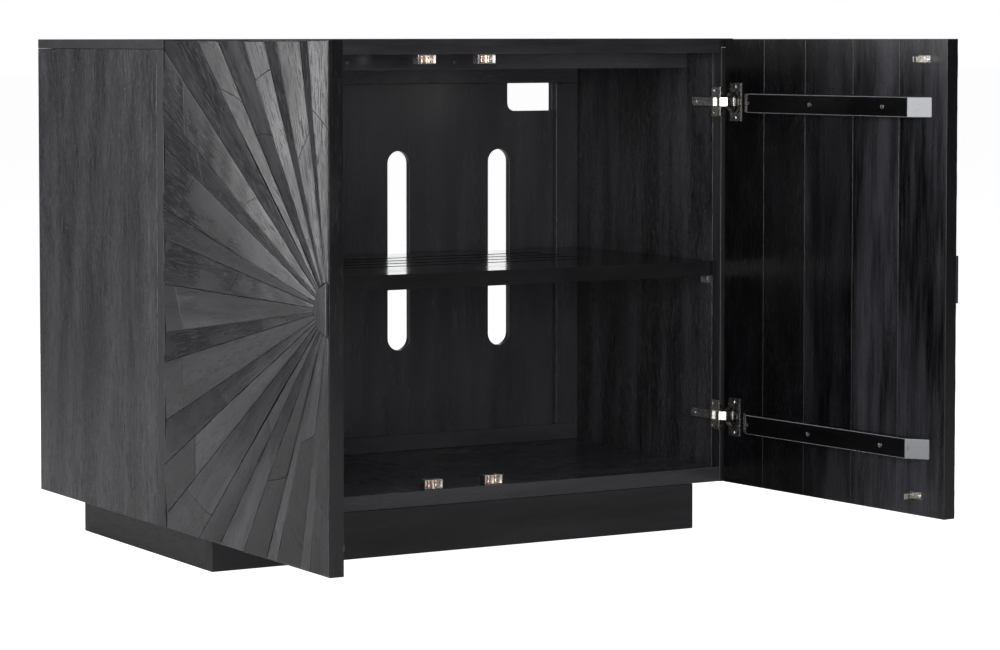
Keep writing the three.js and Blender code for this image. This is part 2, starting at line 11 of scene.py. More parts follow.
import bmesh
import bpy
import numpy as np
from mathutils import Matrix, Vector


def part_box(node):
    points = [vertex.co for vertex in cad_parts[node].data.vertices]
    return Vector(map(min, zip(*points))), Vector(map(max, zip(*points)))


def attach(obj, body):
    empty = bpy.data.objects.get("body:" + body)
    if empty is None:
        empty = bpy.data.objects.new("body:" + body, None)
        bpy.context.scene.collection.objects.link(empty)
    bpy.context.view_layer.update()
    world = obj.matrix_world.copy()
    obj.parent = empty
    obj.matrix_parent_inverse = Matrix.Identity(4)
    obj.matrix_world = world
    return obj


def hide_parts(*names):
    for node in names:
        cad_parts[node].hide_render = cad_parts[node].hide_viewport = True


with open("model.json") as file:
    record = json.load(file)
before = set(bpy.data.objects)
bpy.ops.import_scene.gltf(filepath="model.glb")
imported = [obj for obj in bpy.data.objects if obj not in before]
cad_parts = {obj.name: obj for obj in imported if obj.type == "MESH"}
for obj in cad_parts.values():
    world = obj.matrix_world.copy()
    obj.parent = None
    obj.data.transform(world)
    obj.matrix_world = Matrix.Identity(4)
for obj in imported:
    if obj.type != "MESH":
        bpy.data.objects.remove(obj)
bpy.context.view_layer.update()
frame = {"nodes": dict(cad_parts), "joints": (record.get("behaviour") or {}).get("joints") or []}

# %% [markdown]
# ## The camera
# A long lens stands well to the left of the cabinet, level with its top, and looks down by only a few
# degrees. The rest of the framing is done by shifting the picture, because tilting the camera further
# would make the upright edges lean together.

# %% Camera
CAMERA_PLACE = Vector((-2.628, -4.692, 0.832))
CAMERA_YAW = math.radians(29.17)
CAMERA_PITCH = math.radians(2.87)
CAMERA_ROLL = math.radians(-0.076)


def camera_turn(yaw, pitch, roll):
    """The camera's axes: forward from yaw and pitch, and then right and up turned by the roll."""
    forward = Vector((math.sin(yaw) * math.cos(pitch), math.cos(yaw) * math.cos(pitch), -math.sin(pitch)))
    level = Vector((math.cos(yaw), -math.sin(yaw), 0))
    rise = level.cross(forward)
    right = math.cos(roll) * level + math.sin(roll) * rise
    up = -math.sin(roll) * level + math.cos(roll) * rise
    return Matrix((right, up, -forward)).transposed()


camera = bpy.data.objects.new("camera", bpy.data.cameras.new("camera"))
bpy.context.scene.collection.objects.link(camera)
camera.matrix_world = (
    Matrix.Translation(CAMERA_PLACE) @ camera_turn(CAMERA_YAW, CAMERA_PITCH, CAMERA_ROLL).to_4x4()
)
camera.data.sensor_width = 36
camera.data.lens = 115
camera.data.shift_x = 0.1158
camera.data.shift_y = -0.1272
bpy.context.scene.camera = camera
print("camera", [round(x, 3) for x in camera.location], "lens", camera.data.lens)

# %% [markdown]
# ## Nodes by the handful
# Every finish below is a small network of shader nodes. A few helpers keep that readable: one adds a
# node and fills its sockets, others add a sum, a noise, a ramp or a mix of two colours, and the last
# starts a group with named inputs and outputs.

# %% Node helpers
def put(tree, kind, sockets=None, **settings):
    """Adds one node, sets its settings, and fills its input sockets with values or links."""
    made = tree.nodes.new(kind)
    for key, value in settings.items():
        setattr(made, key, value)
    for key, value in (sockets or {}).items():
        if isinstance(value, bpy.types.NodeSocket):
            tree.links.new(value, made.inputs[key])
        else:
            made.inputs[key].default_value = value
    return made


def maths(tree, operation, first, second, clamp=False):
    """One sum of two values, as a socket."""
    values = {0: first, 1: second}
    return put(tree, "ShaderNodeMath", values, operation=operation, use_clamp=clamp).outputs[0]


def noise(tree, vector, stretch, detail=2.0, rough=0.55):
    """Noise whose grain is stretched: coordinates in metres are multiplied by stretch first."""
    scaled = put(tree, "ShaderNodeVectorMath", {0: vector, 1: stretch}, operation="MULTIPLY")
    sockets = {"Vector": scaled.outputs[0], "Scale": 1.0, "Detail": detail, "Roughness": rough}
    return put(tree, "ShaderNodeTexNoise", sockets).outputs["Fac"]


def ramp(tree, value, low, high, to_low=0.0, to_high=1.0):
    """Turns the range low to high into the range to_low to to_high, and holds it there."""
    sockets = {"Value": value, "From Min": low, "From Max": high, "To Min": to_low, "To Max": to_high}
    return put(tree, "ShaderNodeMapRange", sockets, clamp=True).outputs["Result"]


def blend_colour(tree, share, first, second):
    """Mixes two colours by share, as a socket."""
    made = put(tree, "ShaderNodeMix", data_type="RGBA")
    for index, value in ((0, share), (6, first), (7, second)):
        if isinstance(value, bpy.types.NodeSocket):
            tree.links.new(value, made.inputs[index])
        else:
            made.inputs[index].default_value = value
    return made.outputs[2]


def start_group(name, inputs, outputs):
    """An empty shader group with its sockets, and its input and output nodes."""
    group = bpy.data.node_groups.new(name, "ShaderNodeTree")
    for label, kind, value in inputs:
        socket = group.interface.new_socket(label, in_out="INPUT", socket_type="NodeSocket" + kind)
        if value is not None:
            socket.default_value = value
    for label, kind in outputs:
        group.interface.new_socket(label, in_out="OUTPUT", socket_type="NodeSocket" + kind)
    given = group.nodes.new("NodeGroupInput").outputs
    result = group.nodes.new("NodeGroupOutput")
    return group, given, result


# %% [markdown]
# ## Stained timber, as a group
# Open-pored wood under a black stain is never one black. Broad streaks take the stain differently,
# fine fibres run the length of each board, and the pores are short dark dashes that stay open under a
# thin lacquer. All three are noise stretched along the grain. The group reads the place in the board
# from the board's own grain attribute, so a pattern turns with its board.

# %% Timber group
def timber_group():
    """Colour, roughness and height of stained wood from its place along the grain."""
    inputs = [
        ("Grain", "Vector", None),
        ("Dark", "Color", (0.01, 0.01, 0.012, 1)),
        ("Light", "Color", (0.05, 0.05, 0.055, 1)),
        ("Streaks", "Float", 0.5),
        ("Pores", "Float", 0.5),
        ("Specks", "Float", 0.3),
        ("Smooth", "Float", 0.35),
        ("Rough", "Float", 0.6),
    ]
    outputs = [("Color", "Color"), ("Roughness", "Float"), ("Height", "Float")]
    group, given, result = start_group("Stained timber", inputs, outputs)
    grain = given["Grain"]
    broad = ramp(group, noise(group, grain, (2.4, 21.0, 21.0), 3.0), 0.42, 0.66)
    fibre = noise(group, grain, (9.0, 210.0, 210.0), 4.0, 0.7)
    pore = ramp(group, noise(group, grain, (38.0, 520.0, 520.0), 2.0), 0.57, 0.66)
    speck = ramp(group, noise(group, grain, (210.0, 360.0, 360.0), 1.0), 0.56, 0.68)
    cloud = ramp(group, noise(group, grain, (7.0, 16.0, 16.0), 3.0), 0.45, 0.62)
    streaks = maths(group, "MULTIPLY", broad, given["Streaks"])
    threads = maths(group, "MULTIPLY", ramp(group, fibre, 0.38, 0.68), given["Streaks"])
    share = maths(group, "ADD", streaks, maths(group, "MULTIPLY", threads, 0.45), clamp=True)
    flecks = maths(group, "MULTIPLY", maths(group, "MULTIPLY", speck, cloud), given["Specks"])
    share = maths(group, "ADD", share, flecks, clamp=True)
    colour = blend_colour(group, share, given["Dark"], given["Light"])
    open_pore = maths(group, "MULTIPLY", pore, given["Pores"])
    colour = blend_colour(group, open_pore, colour, (0.002, 0.002, 0.002, 1))
    uneven = maths(group, "ADD", maths(group, "MULTIPLY", fibre, 0.5), maths(group, "MULTIPLY", cloud, 0.5))
    range_of = maths(group, "SUBTRACT", given["Rough"], given["Smooth"])
    dull = maths(group, "ADD", given["Smooth"], maths(group, "MULTIPLY", uneven, range_of))
    dull = maths(group, "ADD", dull, maths(group, "MULTIPLY", open_pore, 0.25), clamp=True)
    pit = maths(group, "MULTIPLY", open_pore, 0.8)
    height = maths(group, "SUBTRACT", maths(group, "MULTIPLY", fibre, 0.5), pit)
    height = maths(group, "ADD", height, maths(group, "MULTIPLY", speck, 0.15))
    group.links.new(colour, result.inputs["Color"])
    group.links.new(dull, result.inputs["Roughness"])
    group.links.new(height, result.inputs["Height"])
    return group


TIMBER = timber_group()
print("group", TIMBER.name, len(TIMBER.nodes), "nodes")

# %% [markdown]
# ## Rubbed edges and painted highlights, as a group
# Stain and lacquer wear thin where hands and cloths rub, which is along the edges. Each mesh carries a
# wear attribute that is 1 where its faces turn a corner and 0 on the flats. Noise breaks the line up,
# so that the rubbing comes and goes as it does on a real edge. On the battens the same blend lays a
# painted highlight: their sloped ends and turned edges get a pale colour that stands for the light they
# catch.

# %% Rubbed edge and painted highlight group
def wear_and_highlight_group():
    """Blends a finish towards its pale colour by wear, patch and amount: rubbed wood, and on the battens a
    painted highlight.
    """
    inputs = [
        ("Color", "Color", (0.02, 0.02, 0.02, 1)),
        ("Roughness", "Float", 0.5),
        ("Pale colour", "Color", (0.1, 0.1, 0.1, 1)),
        ("Wear and highlight", "Float", 0.0),
        ("Grain", "Vector", None),
        ("Amount", "Float", 0.5),
    ]
    group, given, result = start_group("Edge wear and painted highlight", inputs, [("Color", "Color"), ("Roughness", "Float")])
    patch = ramp(group, noise(group, given["Grain"], (60.0, 60.0, 60.0), 3.0), 0.36, 0.6, 0.25)
    pale_part = maths(group, "MULTIPLY", patch, given["Wear and highlight"])
    share = maths(group, "MULTIPLY", pale_part, given["Amount"], clamp=True)
    group.links.new(blend_colour(group, share, given["Color"], given["Pale colour"]), result.inputs["Color"])
    dull = maths(group, "ADD", given["Roughness"], maths(group, "MULTIPLY", share, -0.12), clamp=True)
    group.links.new(dull, result.inputs["Roughness"])
    return group


WEAR_AND_HIGHLIGHT = wear_and_highlight_group()
print("group", WEAR_AND_HIGHLIGHT.name, len(WEAR_AND_HIGHLIGHT.nodes), "nodes")

# %% [markdown]
# ## The eight wood finishes
# One function builds them all from the two groups, and each finish keeps its own shader. The outside
# is a dry satin that shows its streaks, the inside is a smoother lacquer with fainter streaks, the shelf
# and the battens shine most, and the carving sits between them. Every board's tone attribute sets how
# strongly its stain streaks, and on the door planks the tones also carry painted shade. The battens'
# sloped ends and turned edges are painted in a paler colour, as painted highlights.

# %% Wood finishes
MATERIALS = {}


def attribute(tree, name, socket):
    """A mesh attribute as a socket."""
    return put(tree, "ShaderNodeAttribute", attribute_name=name).outputs[socket]


def wood(name, dark, light, streaks, pores, specks, smooth, rough, relief, pale_amount, pale_colour=None):
    """A stained wood: the timber group, the group for rubbed edges and painted highlights, and one shader
    with a fine bump.
    """
    material = bpy.data.materials.new(name)
    material.use_nodes = True
    tree = material.node_tree
    shader = tree.nodes["Principled BSDF"]
    grain = attribute(tree, "grain", "Vector")
    timber = put(tree, "ShaderNodeGroup", node_tree=TIMBER)
    tree.links.new(grain, timber.inputs["Grain"])
    timber.inputs["Dark"].default_value = (*dark, 1)
    timber.inputs["Light"].default_value = (*light, 1)
    for label, value in (("Pores", pores), ("Specks", specks), ("Smooth", smooth), ("Rough", rough)):
        timber.inputs[label].default_value = value
    # The tone sets how strongly the stain streaks; on the door planks it also carries painted shade.
    tone_and_shade = ramp(tree, attribute(tree, "tone_and_shade", "Fac"), 0.0, 1.0, streaks * 0.1, streaks * 1.9)
    tree.links.new(tone_and_shade, timber.inputs["Streaks"])
    pale_edges = put(tree, "ShaderNodeGroup", node_tree=WEAR_AND_HIGHLIGHT)
    tree.links.new(timber.outputs["Color"], pale_edges.inputs["Color"])
    tree.links.new(timber.outputs["Roughness"], pale_edges.inputs["Roughness"])
    tree.links.new(attribute(tree, "wear_and_highlight", "Fac"), pale_edges.inputs["Wear and highlight"])
    tree.links.new(grain, pale_edges.inputs["Grain"])
    # The pale colour: rubbed wood on most finishes, a painted highlight on the battens.
    pale_edges.inputs["Pale colour"].default_value = (*(pale_colour or [2.2 * x for x in light]), 1)
    pale_edges.inputs["Amount"].default_value = pale_amount
    bump = put(tree, "ShaderNodeBump", {"Height": timber.outputs["Height"], "Distance": relief})
    bump.inputs["Strength"].default_value = 0.7
    tree.links.new(pale_edges.outputs["Color"], shader.inputs["Base Color"])
    tree.links.new(pale_edges.outputs["Roughness"], shader.inputs["Roughness"])
    tree.links.new(bump.outputs["Normal"], shader.inputs["Normal"])
    shader.inputs["IOR"].default_value = 1.45
    MATERIALS[name] = material


# Pale colour for the battens' sloped ends and edges: a painted highlight.
BATTEN_HIGHLIGHT_COLOUR = (0.14, 0.145, 0.155)
wood("side_wood", (0.0012, 0.0012, 0.0018), (0.036, 0.035, 0.041), 0.8, 1.0, 1.0, 0.2, 0.46, 0.002, 0.5)
wood("outside_wood", (0.003, 0.003, 0.004), (0.032, 0.032, 0.036), 0.4, 0.6, 0.4, 0.4, 0.62, 0.0005, 0.5)
wood("plinth_wood", (0.003, 0.003, 0.004), (0.018, 0.018, 0.02), 0.4, 0.5, 0.2, 0.4, 0.6, 0.0004, 0.3)
wood("inside_wood", (0.02, 0.02, 0.0235), (0.06, 0.059, 0.068), 0.3, 0.15, 0.05, 0.2, 0.32, 0.0001, 0.35)
wood("shelf_wood", (0.003, 0.003, 0.0035), (0.012, 0.012, 0.013), 0.5, 0.3, 0.1, 0.1, 0.18, 0.0001, 0.5)
wood("door_wood", (0.0006, 0.0006, 0.0008), (0.03, 0.0295, 0.035), 0.45, 0.3, 0.2, 0.18, 0.3, 0.0001, 0.5)
wood(
    "batten_wood", (0.0012, 0.0012, 0.0013), (0.004, 0.004, 0.0045),
    0.4, 0.2, 0.1, 0.14, 0.24, 0.0001, 1.0, BATTEN_HIGHLIGHT_COLOUR,
)
wood("carved_wood", (0.002, 0.002, 0.0026), (0.03, 0.03, 0.035), 0.5, 0.5, 0.4, 0.2, 0.36, 0.0004, 0.8)
print("wood finishes", sorted(MATERIALS))

# %% [markdown]
# ## Nickel and copper
# The hinges are bright nickel plate and the catch rollers are a warm copper. Plated steel is smooth,
# with a faint cloudiness where it has been handled, and a shade darker in its pits. The age attribute
# takes it towards a dull brown: as age on the old screws, as an even darkening on the strikes, and as
# painted shade in the depths of the hinge cups.

# %% Metal finishes
def metal_group():
    """Colour, roughness and height of plated steel from its place, and its age and painted shade."""
    inputs = [
        ("Bright", "Color", (0.8, 0.8, 0.8, 1)),
        ("Dull", "Color", (0.3, 0.3, 0.3, 1)),
        ("Place", "Vector", None),
        ("Age", "Float", 0.0),
    ]
    outputs = [("Color", "Color"), ("Roughness", "Float"), ("Height", "Float")]
    group, given, result = start_group("Plated steel", inputs, outputs)
    cloud = noise(group, given["Place"], (160.0, 160.0, 160.0), 3.0)
    scratch = noise(group, given["Place"], (2600.0, 300.0, 2600.0), 1.0)
    share = ramp(group, cloud, 0.5, 0.75, 0.0, 0.6)
    plate = blend_colour(group, share, given["Bright"], given["Dull"])
    # Dull brown: age on the screws, an even darkening on the strikes, painted shade in the hinge cups.
    group.links.new(blend_colour(group, given["Age"], plate, (0.06, 0.05, 0.045, 1)), result.inputs["Color"])
    group.links.new(ramp(group, cloud, 0.3, 0.7, 0.16, 0.34), result.inputs["Roughness"])
    group.links.new(scratch, result.inputs["Height"])
    return group


METAL = metal_group()


def metal(name, bright, dull):
    """A plated metal on the piece's own coordinates."""
    material = bpy.data.materials.new(name)
    material.use_nodes = True
    tree = material.node_tree
    shader = tree.nodes["Principled BSDF"]
    plate = put(tree, "ShaderNodeGroup", node_tree=METAL)
    tree.links.new(put(tree, "ShaderNodeTexCoord").outputs["Object"], plate.inputs["Place"])
    tree.links.new(attribute(tree, "age_and_shade", "Fac"), plate.inputs["Age"])
    plate.inputs["Bright"].default_value = (*bright, 1)
    plate.inputs["Dull"].default_value = (*dull, 1)
    bump = put(tree, "ShaderNodeBump", {"Height": plate.outputs["Height"], "Distance": 0.00005})
    bump.inputs["Strength"].default_value = 0.4
    tree.links.new(plate.outputs["Color"], shader.inputs["Base Color"])
    tree.links.new(plate.outputs["Roughness"], shader.inputs["Roughness"])
    tree.links.new(bump.outputs["Normal"], shader.inputs["Normal"])
    shader.inputs["Metallic"].default_value = 1.0
    MATERIALS[name] = material


metal("nickel", (0.74, 0.72, 0.68), (0.34, 0.33, 0.31))
metal("copper", (0.72, 0.47, 0.36), (0.3, 0.18, 0.13))
print("metals", METAL.name)

# %% [markdown]
# ## Doors have their own measure
# A door is easiest to think of shut, with X running from the hinge pin to the free edge, Y into the
# cabinet and Z up. The doors stand open here, so a door's points are turned about its pin, and the
# right door is the left one seen in a mirror. The pin and the angle come from the measured joints.

# %% Door measure
DOORS = {"left": 1.0, "right": -1.0}
JOINTS = {joint["name"]: joint for joint in frame["joints"]}


def door_motion(side):
    """The hinge pin and the 3 by 3 matrix that takes a shut left door to this door as it stands."""
    joint = JOINTS[f"{side}_door_hinge"]
    turn = -joint["axis"][2] * math.radians(joint["range_deg"][1])
    across = np.array([[math.cos(turn), -math.sin(turn), 0], [math.sin(turn), math.cos(turn), 0], [0, 0, 1]])
    return np.array([*joint["pos_m"][:2], 0.0]), across @ np.diag([DOORS[side], 1.0, 1.0])


def from_door(side, points):
    """Points in a door's own measure, set where that door stands: matrix @ point + pin."""
    pin, matrix = door_motion(side)
    return np.asarray(points) @ matrix.T + pin


def mesh_points(mesh):
    """A mesh's points as an array."""
    points = np.empty(len(mesh.vertices) * 3)
    mesh.vertices.foreach_get("co", points)
    return points.reshape(-1, 3)


def node_points(node):
    """A measured node's corners as an array of points."""
    return mesh_points(frame["nodes"][node].data)


def door_box(side, node):
    """A node's lowest and highest corner in its door's own measure."""
    pin, matrix = door_motion(side)
    points = (node_points(node) - pin) @ matrix
    return points.min(0), points.max(0)


PANEL_LOW, PANEL_HIGH = door_box("left", "left_door_panel")
CARVING_LOW, CARVING_HIGH = door_box("left", "left_door_sunburst")
print("door panel", PANEL_LOW.round(4), PANEL_HIGH.round(4))

# %% [markdown]
# ## Finishing a mesh
# Every piece ends the same way. Its doubled points are merged and its faces turned outward, its large
# flats are kept flat by weighting each corner's normal by face area, and it gets four attributes: its
# place along the grain, how much of an edge each point is, its tone, and its age. On the door planks
# the tone also carries painted shade, in the hinge cups the age is painted shade, and on the battens
# the edge measure is replaced by a painted highlight.

# %% Finishing helper
SHARP = math.cos(math.radians(40))


def face_vectors(mesh):
    """Each face's normal and area as arrays."""
    count = len(mesh.polygons)
    normals, areas = np.empty(count * 3), np.empty(count)
    mesh.polygons.foreach_get("normal", normals)
    mesh.polygons.foreach_get("area", areas)
    return normals.reshape(-1, 3), areas


def soften_normals(mesh):
    """Area-weighted normals, and each point's wear: how far its faces disagree, as 1 - |sum| / sum of ||."""
    normals, areas = face_vectors(mesh)
    loops = len(mesh.loops)
    corner = np.empty(loops, np.int64)
    mesh.loops.foreach_get("vertex_index", corner)
    sizes = np.empty(len(mesh.polygons), np.int64)
    mesh.polygons.foreach_get("loop_total", sizes)
    face = np.repeat(np.arange(len(sizes)), sizes)
    weighted = normals[face] * areas[face, None]
    total = np.zeros((len(mesh.vertices), 3))
    np.add.at(total, corner, weighted)
    length = np.linalg.norm(total, axis=1)
    area = np.bincount(corner, areas[face], len(mesh.vertices))
    point_normal = total / np.maximum(length, 1e-12)[:, None]
    agree = (point_normal[corner] * normals[face]).sum(1)
    chosen = np.where((agree > SHARP)[:, None], point_normal[corner], normals[face])
    mesh.polygons.foreach_set("use_smooth", np.ones(len(sizes), bool))
    mesh.normals_split_custom_set(chosen.tolist())
    return np.clip((1 - length / np.maximum(area, 1e-12) - 0.02) / 0.05, 0, 1)


def set_values(mesh, name, kind, values):
    """Writes one value or vector to each point of a mesh."""
    made = mesh.attributes.get(name) or mesh.attributes.new(name, kind, "POINT")
    field = "vector" if kind == "FLOAT_VECTOR" else "value"
    made.data.foreach_set(field, np.ravel(values).astype(np.float32))


def grain_of(points, along, across, start):
    """Place in the board: distances along the grain, across it and through it, from a start of its own."""
    basis = np.array([along, across, np.cross(along, across)])
    return points @ basis.T + start


def finish_piece(name, mesh, slot, body, replaces=(), grain=None, tone_and_shade=0.5, age_and_shade=0.0):
    """Turns a finished mesh into a piece that rides on its body and has its finish."""
    rounded = soften_normals(mesh)
    set_values(mesh, "wear_and_highlight", "FLOAT", rounded)
    set_values(mesh, "age_and_shade", "FLOAT", np.broadcast_to(age_and_shade, len(mesh.vertices)))
    set_values(mesh, "grain", "FLOAT_VECTOR", mesh_points(mesh) if grain is None else grain)
    set_values(mesh, "tone_and_shade", "FLOAT", np.broadcast_to(tone_and_shade, len(mesh.vertices)))
    piece = bpy.data.objects.new(name, mesh)
    bpy.context.scene.collection.objects.link(piece)
    mesh.materials.clear()
    mesh.materials.append(MATERIALS[slot])
    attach(piece, body)
    if replaces:
        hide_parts(*replaces)
    return piece


# %% [markdown]
# ## Straight boards
# A planed board is a ring of points round its section, carried along its length. The ring has a quarter
# circle at each corner, and it draws in over another quarter circle at both ends, so all twelve edges
# and eight corners come out rounded by the sanding radius. A plain box with a bevel would do the same,
# but here the shape is one formula.

# %% Board surface
EDGE_STEPS = 2


def closed_mesh(name, points, faces):
    """A mesh from points and faces, its doubles merged and its faces turned outward."""
    mesh = bpy.data.meshes.new(name)
    mesh.from_pydata(np.asarray(points).tolist(), [], [list(map(int, face)) for face in faces])
    work = bmesh.new()
    work.from_mesh(mesh)
    bmesh.ops.remove_doubles(work, verts=work.verts, dist=1e-6)
    bmesh.ops.recalc_face_normals(work, faces=work.faces)
    work.to_mesh(mesh)
    work.free()
    return mesh


def grid_faces(rows, columns, wrap):
    """Quads of a grid of points, numbered row by row; wrap joins the last column to the first."""
    row = np.arange(rows - 1)[:, None]
    column = np.arange(columns if wrap else columns - 1)[None]
    after = (column + 1) % columns
    here, above = row * columns, (row + 1) * columns
    corners = [here + column, here + after, above + after, above + column]
    return np.stack(np.broadcast_arrays(*corners), -1).reshape(-1, 4)


def board_surface(low, high, radius, along):
    """The point at turn t round the section and turn s over an end is
    core corner + radius * cos(s) * (cos t, sin t), at the height end - radius + radius * sin(s)."""
    order = [along, (along + 1) % 3, (along + 2) % 3]
    low, high = np.asarray(low)[order], np.asarray(high)[order]
    middle, half = (low + high) / 2, (high - low) / 2
    quarter = np.linspace(0, np.pi / 2, EDGE_STEPS + 1)
    corner = np.repeat(np.arange(4), len(quarter))
    t = corner * np.pi / 2 + np.tile(quarter, 4)
    facing = corner * np.pi / 2 + np.pi / 4
    core = np.sign(np.stack([np.cos(facing), np.sin(facing)], 1)) * (half[1:] - radius)
    s = np.concatenate([-quarter[::-1], quarter])
    station = np.repeat([-1, 1], len(quarter)) * (half[0] - radius) + radius * np.sin(s)
    ring = core + radius * np.cos(s)[:, None, None] * np.stack([np.cos(t), np.sin(t)], 1)
    points = np.empty((len(s), len(t), 3))
    points[..., order[0]] = (station + middle[0])[:, None]
    points[..., order[1]] = ring[..., 0] + middle[1]
    points[..., order[2]] = ring[..., 1] + middle[2]
    faces = [*grid_faces(len(s), len(t), True)]
    cap = np.arange(4) * len(quarter)
    faces += [cap, cap + (len(s) - 1) * len(t)]
    return points.reshape(-1, 3), faces


# %% [markdown]
# ## The carcass and the plinth
# The sides, their front strips, the floor, the rails, the stiles and the plinth are all straight boards.
# Each takes its box from the measured model and its grain along its length, as a joiner would lay it.

# %% Carcass boards
X, Y, Z = 0, 1, 2
AXES = np.eye(3)
dice = np.random.default_rng(11)
BOARDS = [
    ("left_side_panel", Z, 0.0012, "side_wood"),
    ("right_side_panel", Z, 0.0012, "side_wood"),
    ("left_front_lipping", Z, 0.001, "outside_wood"),
    ("right_front_lipping", Z, 0.001, "outside_wood"),
    ("floor_panel", X, 0.0012, "inside_wood"),
    ("front_top_rail", X, 0.001, "inside_wood"),
    ("back_top_rail", X, 0.001, "inside_wood"),
    ("back_bottom_rail", X, 0.001, "inside_wood"),
    ("back_left_stile", Z, 0.001, "inside_wood"),
    ("back_right_stile", Z, 0.001, "inside_wood"),
    ("plinth_front", X, 0.0012, "plinth_wood"),
    ("plinth_back", X, 0.0012, "plinth_wood"),
    ("plinth_left", Y, 0.0008, "plinth_wood"),
    ("plinth_right", Y, 0.0008, "plinth_wood"),
    ("plinth_brace", Y, 0.0008, "plinth_wood"),
]
for node, along, radius, slot in BOARDS:
    points, faces = board_surface(*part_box(node), radius, along)
    mesh = closed_mesh(node + "_board", points, faces)
    start = dice.uniform(0, 5, 3)
    grain = grain_of(mesh_points(mesh), AXES[along], AXES[(along + 1) % 3], start)
    finish_piece(node + "_board", mesh, slot, "carcass", [node], grain, dice.uniform(0.35, 0.65))
print("boards", len(BOARDS))

# %% [markdown]
# ## Pieces with holes and slopes
# The top with its rebated ends, the slotted back, the vented shelf, the battens and the hardware already
# have their true shape in the measured model. A copy of each has its loose triangles merged, and a
# Bevel modifier rounds its edges. The measured piece itself is left alone and only hidden.

# %% Softened copies
BEVEL_ANGLE = math.radians(30)


def merged_copy(node):
    """A copy of a measured node as a bmesh, its doubles merged and its flat triangles joined."""
    work = bmesh.new()
    work.from_mesh(frame["nodes"][node].data)
    bmesh.ops.remove_doubles(work, verts=work.verts, dist=1e-6)
    bmesh.ops.dissolve_limit(work, angle_limit=math.radians(0.5), verts=work.verts, edges=work.edges)
    return work


def bevelled(name, work, radius):
    """The bmesh as a mesh, with a Bevel modifier applied to its sharp edges."""
    rough = bpy.data.meshes.new(name + "_rough")
    work.to_mesh(rough)
    work.free()
    rough.materials.clear()
    holder = bpy.data.objects.new(name + "_rough", rough)
    bpy.context.scene.collection.objects.link(holder)
    bevel = holder.modifiers.new("edges", "BEVEL")
    bevel.width = radius
    bevel.segments = EDGE_STEPS
    bevel.limit_method = "ANGLE"
    bevel.angle_limit = BEVEL_ANGLE
    mesh = bpy.data.meshes.new_from_object(holder.evaluated_get(bpy.context.evaluated_depsgraph_get()))
    mesh.name = name
    bpy.data.objects.remove(holder)
    bpy.data.meshes.remove(rough)
    return mesh


def soft_copy(node, radius, slot, body, along=AXES[X], across=AXES[Y]):
    """A bevelled copy of one measured node, standing for it."""
    mesh = bevelled(node + "_soft", merged_copy(node), radius)
    grain = grain_of(mesh_points(mesh), along, across, dice.uniform(0, 5, 3))
    return finish_piece(node + "_soft", mesh, slot, body, [node], grain, dice.uniform(0.35, 0.65))


soft_copy("top_panel", 0.0012, "outside_wood", "carcass")
soft_copy("back_panel", 0.0008, "inside_wood", "carcass", AXES[Z], AXES[X])
soft_copy("shelf", 0.0014, "shelf_wood", "carcass")

# %% [markdown]
# ## Hinges, shelf supports and catches
# The concealed hinges are bent and pressed from thin plate, so their edges are only just broken. The
# same bevelled copy serves, with a radius of a quarter of a millimetre, and twice that on the cups. The
# strap of each arm is also bent back towards the carcass, where the measured one runs square: its points
# are slid by a slope times their distance past the bend. The cups are painted darker with depth, as
# painted shade in their hollows, and the strikes are darkened evenly.

# %% Hardware
PLATE_EDGE = 0.00025
STRAP_STRAIGHT = 0.0148
STRAP_SLOPE = 0.9
# Painted shade in the hinge cups: darker with depth over this depth, up to the limit below.
CUP_SHADE_DEPTH = 0.002
CUP_SHADE_LIMIT = 0.95
STRIKE_DARKENING = 0.5


def hinge_arm(side, level):
    """The arm, its strap bent where it leaves the cup: from the bend on, y = y + slope * distance."""
    node = f"{side}_{level}_hinge_arm"
    work = merged_copy(node)
    bend = abs(door_motion(side)[0][0]) - STRAP_STRAIGHT
    everything = [*work.verts, *work.edges, *work.faces]
    bmesh.ops.bisect_plane(work, geom=everything, plane_co=(bend * -DOORS[side], 0, 0), plane_no=(1, 0, 0))
    strap = bpy.data.meshes.new("strap")
    work.to_mesh(strap)
    points = mesh_points(strap)
    in_front = points[:, 1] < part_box("left_front_lipping")[0].y
    points[:, 1] += in_front * STRAP_SLOPE * np.clip(bend - np.abs(points[:, 0]), 0, None)
    strap.vertices.foreach_set("co", points.ravel())
    work.clear()
    work.from_mesh(strap)
    bpy.data.meshes.remove(strap)
    mesh = bevelled(node + "_soft", work, PLATE_EDGE)
    return finish_piece(node + "_soft", mesh, "nickel", "carcass", [node])


LEVELS = ("upper", "lower")
for side in DOORS:
    for level in LEVELS:
        soft_copy(f"{side}_{level}_hinge_plate", PLATE_EDGE, "nickel", "carcass")
        hinge_arm(side, level)
        soft_copy(f"{side}_{level}_catch_housing", PLATE_EDGE, "nickel", "carcass")
        cup = soft_copy(f"{side}_{level}_hinge_cup", 2 * PLATE_EDGE, "nickel", f"{side}_door")
        pin, matrix = door_motion(side)
        # Painted shade: the deeper a point lies in the cup, the darker it is painted.
        depth = PANEL_HIGH[1] - ((mesh_points(cup.data) - pin) @ matrix)[:, 1]
        set_values(cup.data, "age_and_shade", "FLOAT", np.clip(depth / CUP_SHADE_DEPTH, 0, CUP_SHADE_LIMIT))
        strike = soft_copy(f"{side}_{level}_strike", PLATE_EDGE, "nickel", f"{side}_door")
        set_values(strike.data, "age_and_shade", "FLOAT", np.full(len(strike.data.vertices), STRIKE_DARKENING))
    for end in ("front", "rear"):
        soft_copy(f"shelf_support_{end}_{side}", PLATE_EDGE, "nickel", "carcass")

# %% [markdown]
# ## Catch rollers
# Each catch grips the strike between two sprung rollers. A roller is turned on a lathe, so its surface
# is a profile of radius against height swung round an axis: a barrel with chamfered rims and a narrow
# waist, on a pin.

